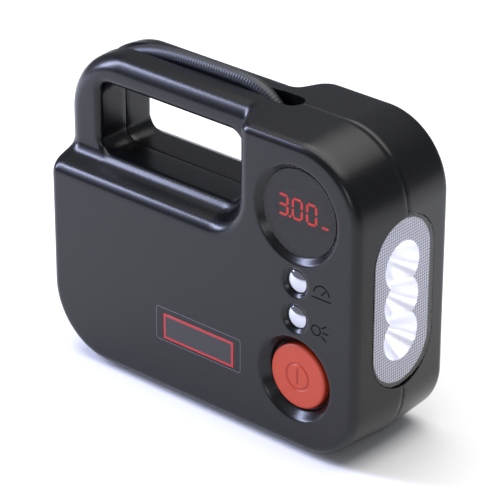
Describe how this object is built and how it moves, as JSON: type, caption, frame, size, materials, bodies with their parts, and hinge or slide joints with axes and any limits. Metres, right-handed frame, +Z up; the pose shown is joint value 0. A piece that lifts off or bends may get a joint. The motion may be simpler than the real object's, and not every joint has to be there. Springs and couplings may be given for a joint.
{
  "type": "jump starter pack",
  "caption": "Portable jump starter pack: black case with a carrying handle over a finger gap, work lamp, control column, back ports and a built-in air compressor with hose.",
  "frame": {"origin": "on the ground plane, under the middle of the case at the parting plane of its two halves", "axes": "+X along the length towards the lamp, +Y from the control face to the back with the ports, +Z up through the handle"},
  "size_m": [0.224, 0.075, 0.1883],
  "materials": {
    "case_plastic": "satin moulded black plastic, faint grain",
    "inner_plastic": "plain black moulding",
    "rubber": "matt moulded rubber",
    "hose_rubber": "braided and ribbed black hose",
    "badge": "printed red plate with a black edge",
    "smoked_window": "smoked clear plastic",
    "digit_glow": "lit red segments",
    "power_cap": "translucent orange-red cap, satin",
    "chrome_cap": "bright plated dome",
    "lens_clear": "clear prismatic plastic",
    "reflector": "vacuum-metallised plastic",
    "led": "clear resin dome, lit",
    "board_white": "white solder mask",
    "board_green": "green solder mask",
    "switch_body": "black switch housings",
    "spring_steel": "drawn spring wire",
    "zinc_screws": "zinc-plated screws",
    "cell_pouch": "foil pouch film",
    "nickel": "nickel strip",
    "lead_cover": "silicone lead cover",
    "socket_blue": "blue glass-filled nylon",
    "bracket_steel": "zinc-plated sheet",
    "motor_steel": "nickel-plated can",
    "rotor": "steel shaft and laminations with copper winding",
    "brass": "turned brass",
    "turned_steel": "ground steel",
    "gear_nylon": "natural nylon",
    "cast_aluminium": "die-cast"
  },
  "bodies": {
    "housing": {"front_shell": "case_plastic", "back_shell": "case_plastic", "case_screws": "zinc_screws", "rubber_feet": "rubber", "badge_plate": "badge", "display_window": "smoked_window", "display_module": "inner_plastic", "display_digits": "digit_glow", "control_board": "board_green", "board_screws": "zinc_screws", "tact_switches": "switch_body", "power_board": "board_green", "power_spring": "spring_steel", "lamp_lens": "lens_clear", "lamp_seal": "rubber", "lamp_reflector": "reflector", "lamp_board": "board_white", "lamp_leds": "led", "battery_cells": "cell_pouch", "battery_tray": "inner_plastic", "battery_links": "nickel", "battery_board": "board_green", "power_leads": "lead_cover", "port_frame": "case_plastic", "output_socket": "socket_blue", "usb_sockets": "nickel", "charge_jack": "inner_plastic", "compressor_bracket": "bracket_steel", "bracket_screws": "zinc_screws", "motor_can": "motor_steel", "motor_cap": "motor_steel", "gear_axle": "turned_steel", "gear_clip": "spring_steel", "cylinder": "cast_aluminium", "cylinder_head": "cast_aluminium", "head_screws": "zinc_screws", "pressure_tube": "cast_aluminium", "hose_gland": "brass", "air_hose": "hose_rubber", "chuck_stem": "brass"},
    "power_key": {"power_button": "power_cap"},
    "unit_key": {"unit_button": "chrome_cap"},
    "lamp_key": {"lamp_button": "chrome_cap"},
    "cover": {"port_cover": "case_plastic"},
    "rotor": {"motor_rotor": "rotor", "pinion": "brass"},
    "crank": {"drive_gear": "gear_nylon", "crank_pin": "turned_steel"},
    "piston": {"piston_rod": "cast_aluminium", "piston_cup": "rubber"},
    "nut": {"chuck_nut": "brass"}
  },
  "joints": [
    {"name": "power_press", "type": "slide", "parent": "housing", "child": "power_key", "axis": [0, 1, 0], "range_m": [0, 0.002], "stiffness_N_per_m": 500, "springref_m": -0.002, "deforming": ["power_spring"]},
    {"name": "unit_press", "type": "slide", "parent": "housing", "child": "unit_key", "axis": [0, 1, 0], "range_m": [0, 0.0008], "stiffness_N_per_m": 400, "springref_m": -0.001},
    {"name": "lamp_press", "type": "slide", "parent": "housing", "child": "lamp_key", "axis": [0, 1, 0], "range_m": [0, 0.0008], "stiffness_N_per_m": 400, "springref_m": -0.001},
    {"name": "cover_hinge", "type": "hinge", "parent": "housing", "child": "cover", "pos_m": [-0.052, 0.0361, 0.0488], "axis": [1, 0, 0], "range_deg": [0, 100]},
    {"name": "crank_spin", "type": "hinge", "parent": "housing", "child": "crank", "pos_m": [0.053, 0.008, 0.0621], "axis": [1, 0, 0], "continuous": true},
    {"name": "rotor_spin", "type": "hinge", "parent": "housing", "child": "rotor", "pos_m": [0.053, 0.008, 0.032], "axis": [1, 0, 0], "continuous": true},
    {"name": "piston_slide", "type": "slide", "parent": "housing", "child": "piston", "axis": [0, 0, 1], "range_m": [-0.015, 0]},
    {"name": "nut_spin", "type": "hinge", "parent": "housing", "child": "nut", "pos_m": [0.034, 0, 0.133], "axis": [0, 0, 1], "continuous": true}
  ],
  "couplings": [
    {"joint": "crank_spin", "follows": "rotor_spin", "ratio": -0.25}
  ]
}
